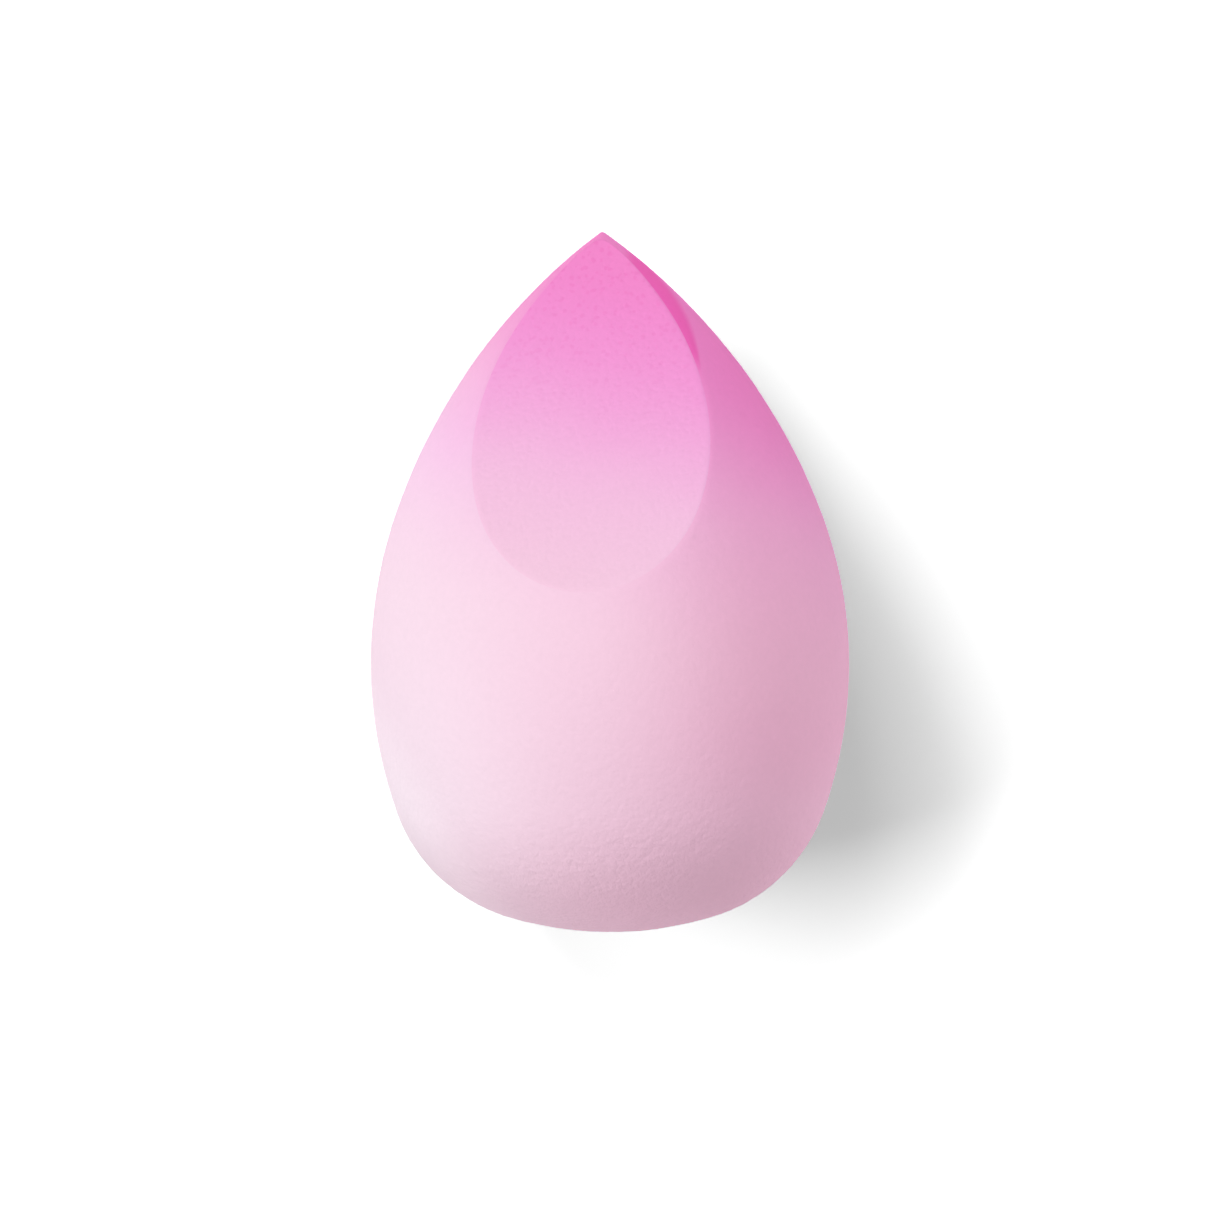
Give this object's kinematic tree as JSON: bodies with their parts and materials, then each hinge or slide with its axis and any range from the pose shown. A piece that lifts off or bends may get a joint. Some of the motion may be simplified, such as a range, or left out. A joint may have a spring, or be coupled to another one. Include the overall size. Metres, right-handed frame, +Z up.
{
  "type": "makeup sponge",
  "caption": "Teardrop foam sponge with a rounded base, a pointed tip and one slanted flat cut, for dabbing and blending make-up by hand.",
  "frame": {"origin": "middle of the sponge's length and width, on the surface that it lies on", "axes": "+Y along the sponge from its base to its tip, +Z up, with the slanted cut facing up"},
  "size_m": [0.041, 0.06, 0.0405],
  "materials": {
    "moulded_foam": "matt moulded foam skin, dyed from deep pink at the tip to pale pink at the base",
    "cut_foam": "matt open-cell foam laid bare by the blade, dyed from deep pink to pale pink"
  },
  "bodies": {
    "root": {"foam_core": "cut_foam", "moulded_skin": "moulded_foam"}
  },
  "joints": []
}
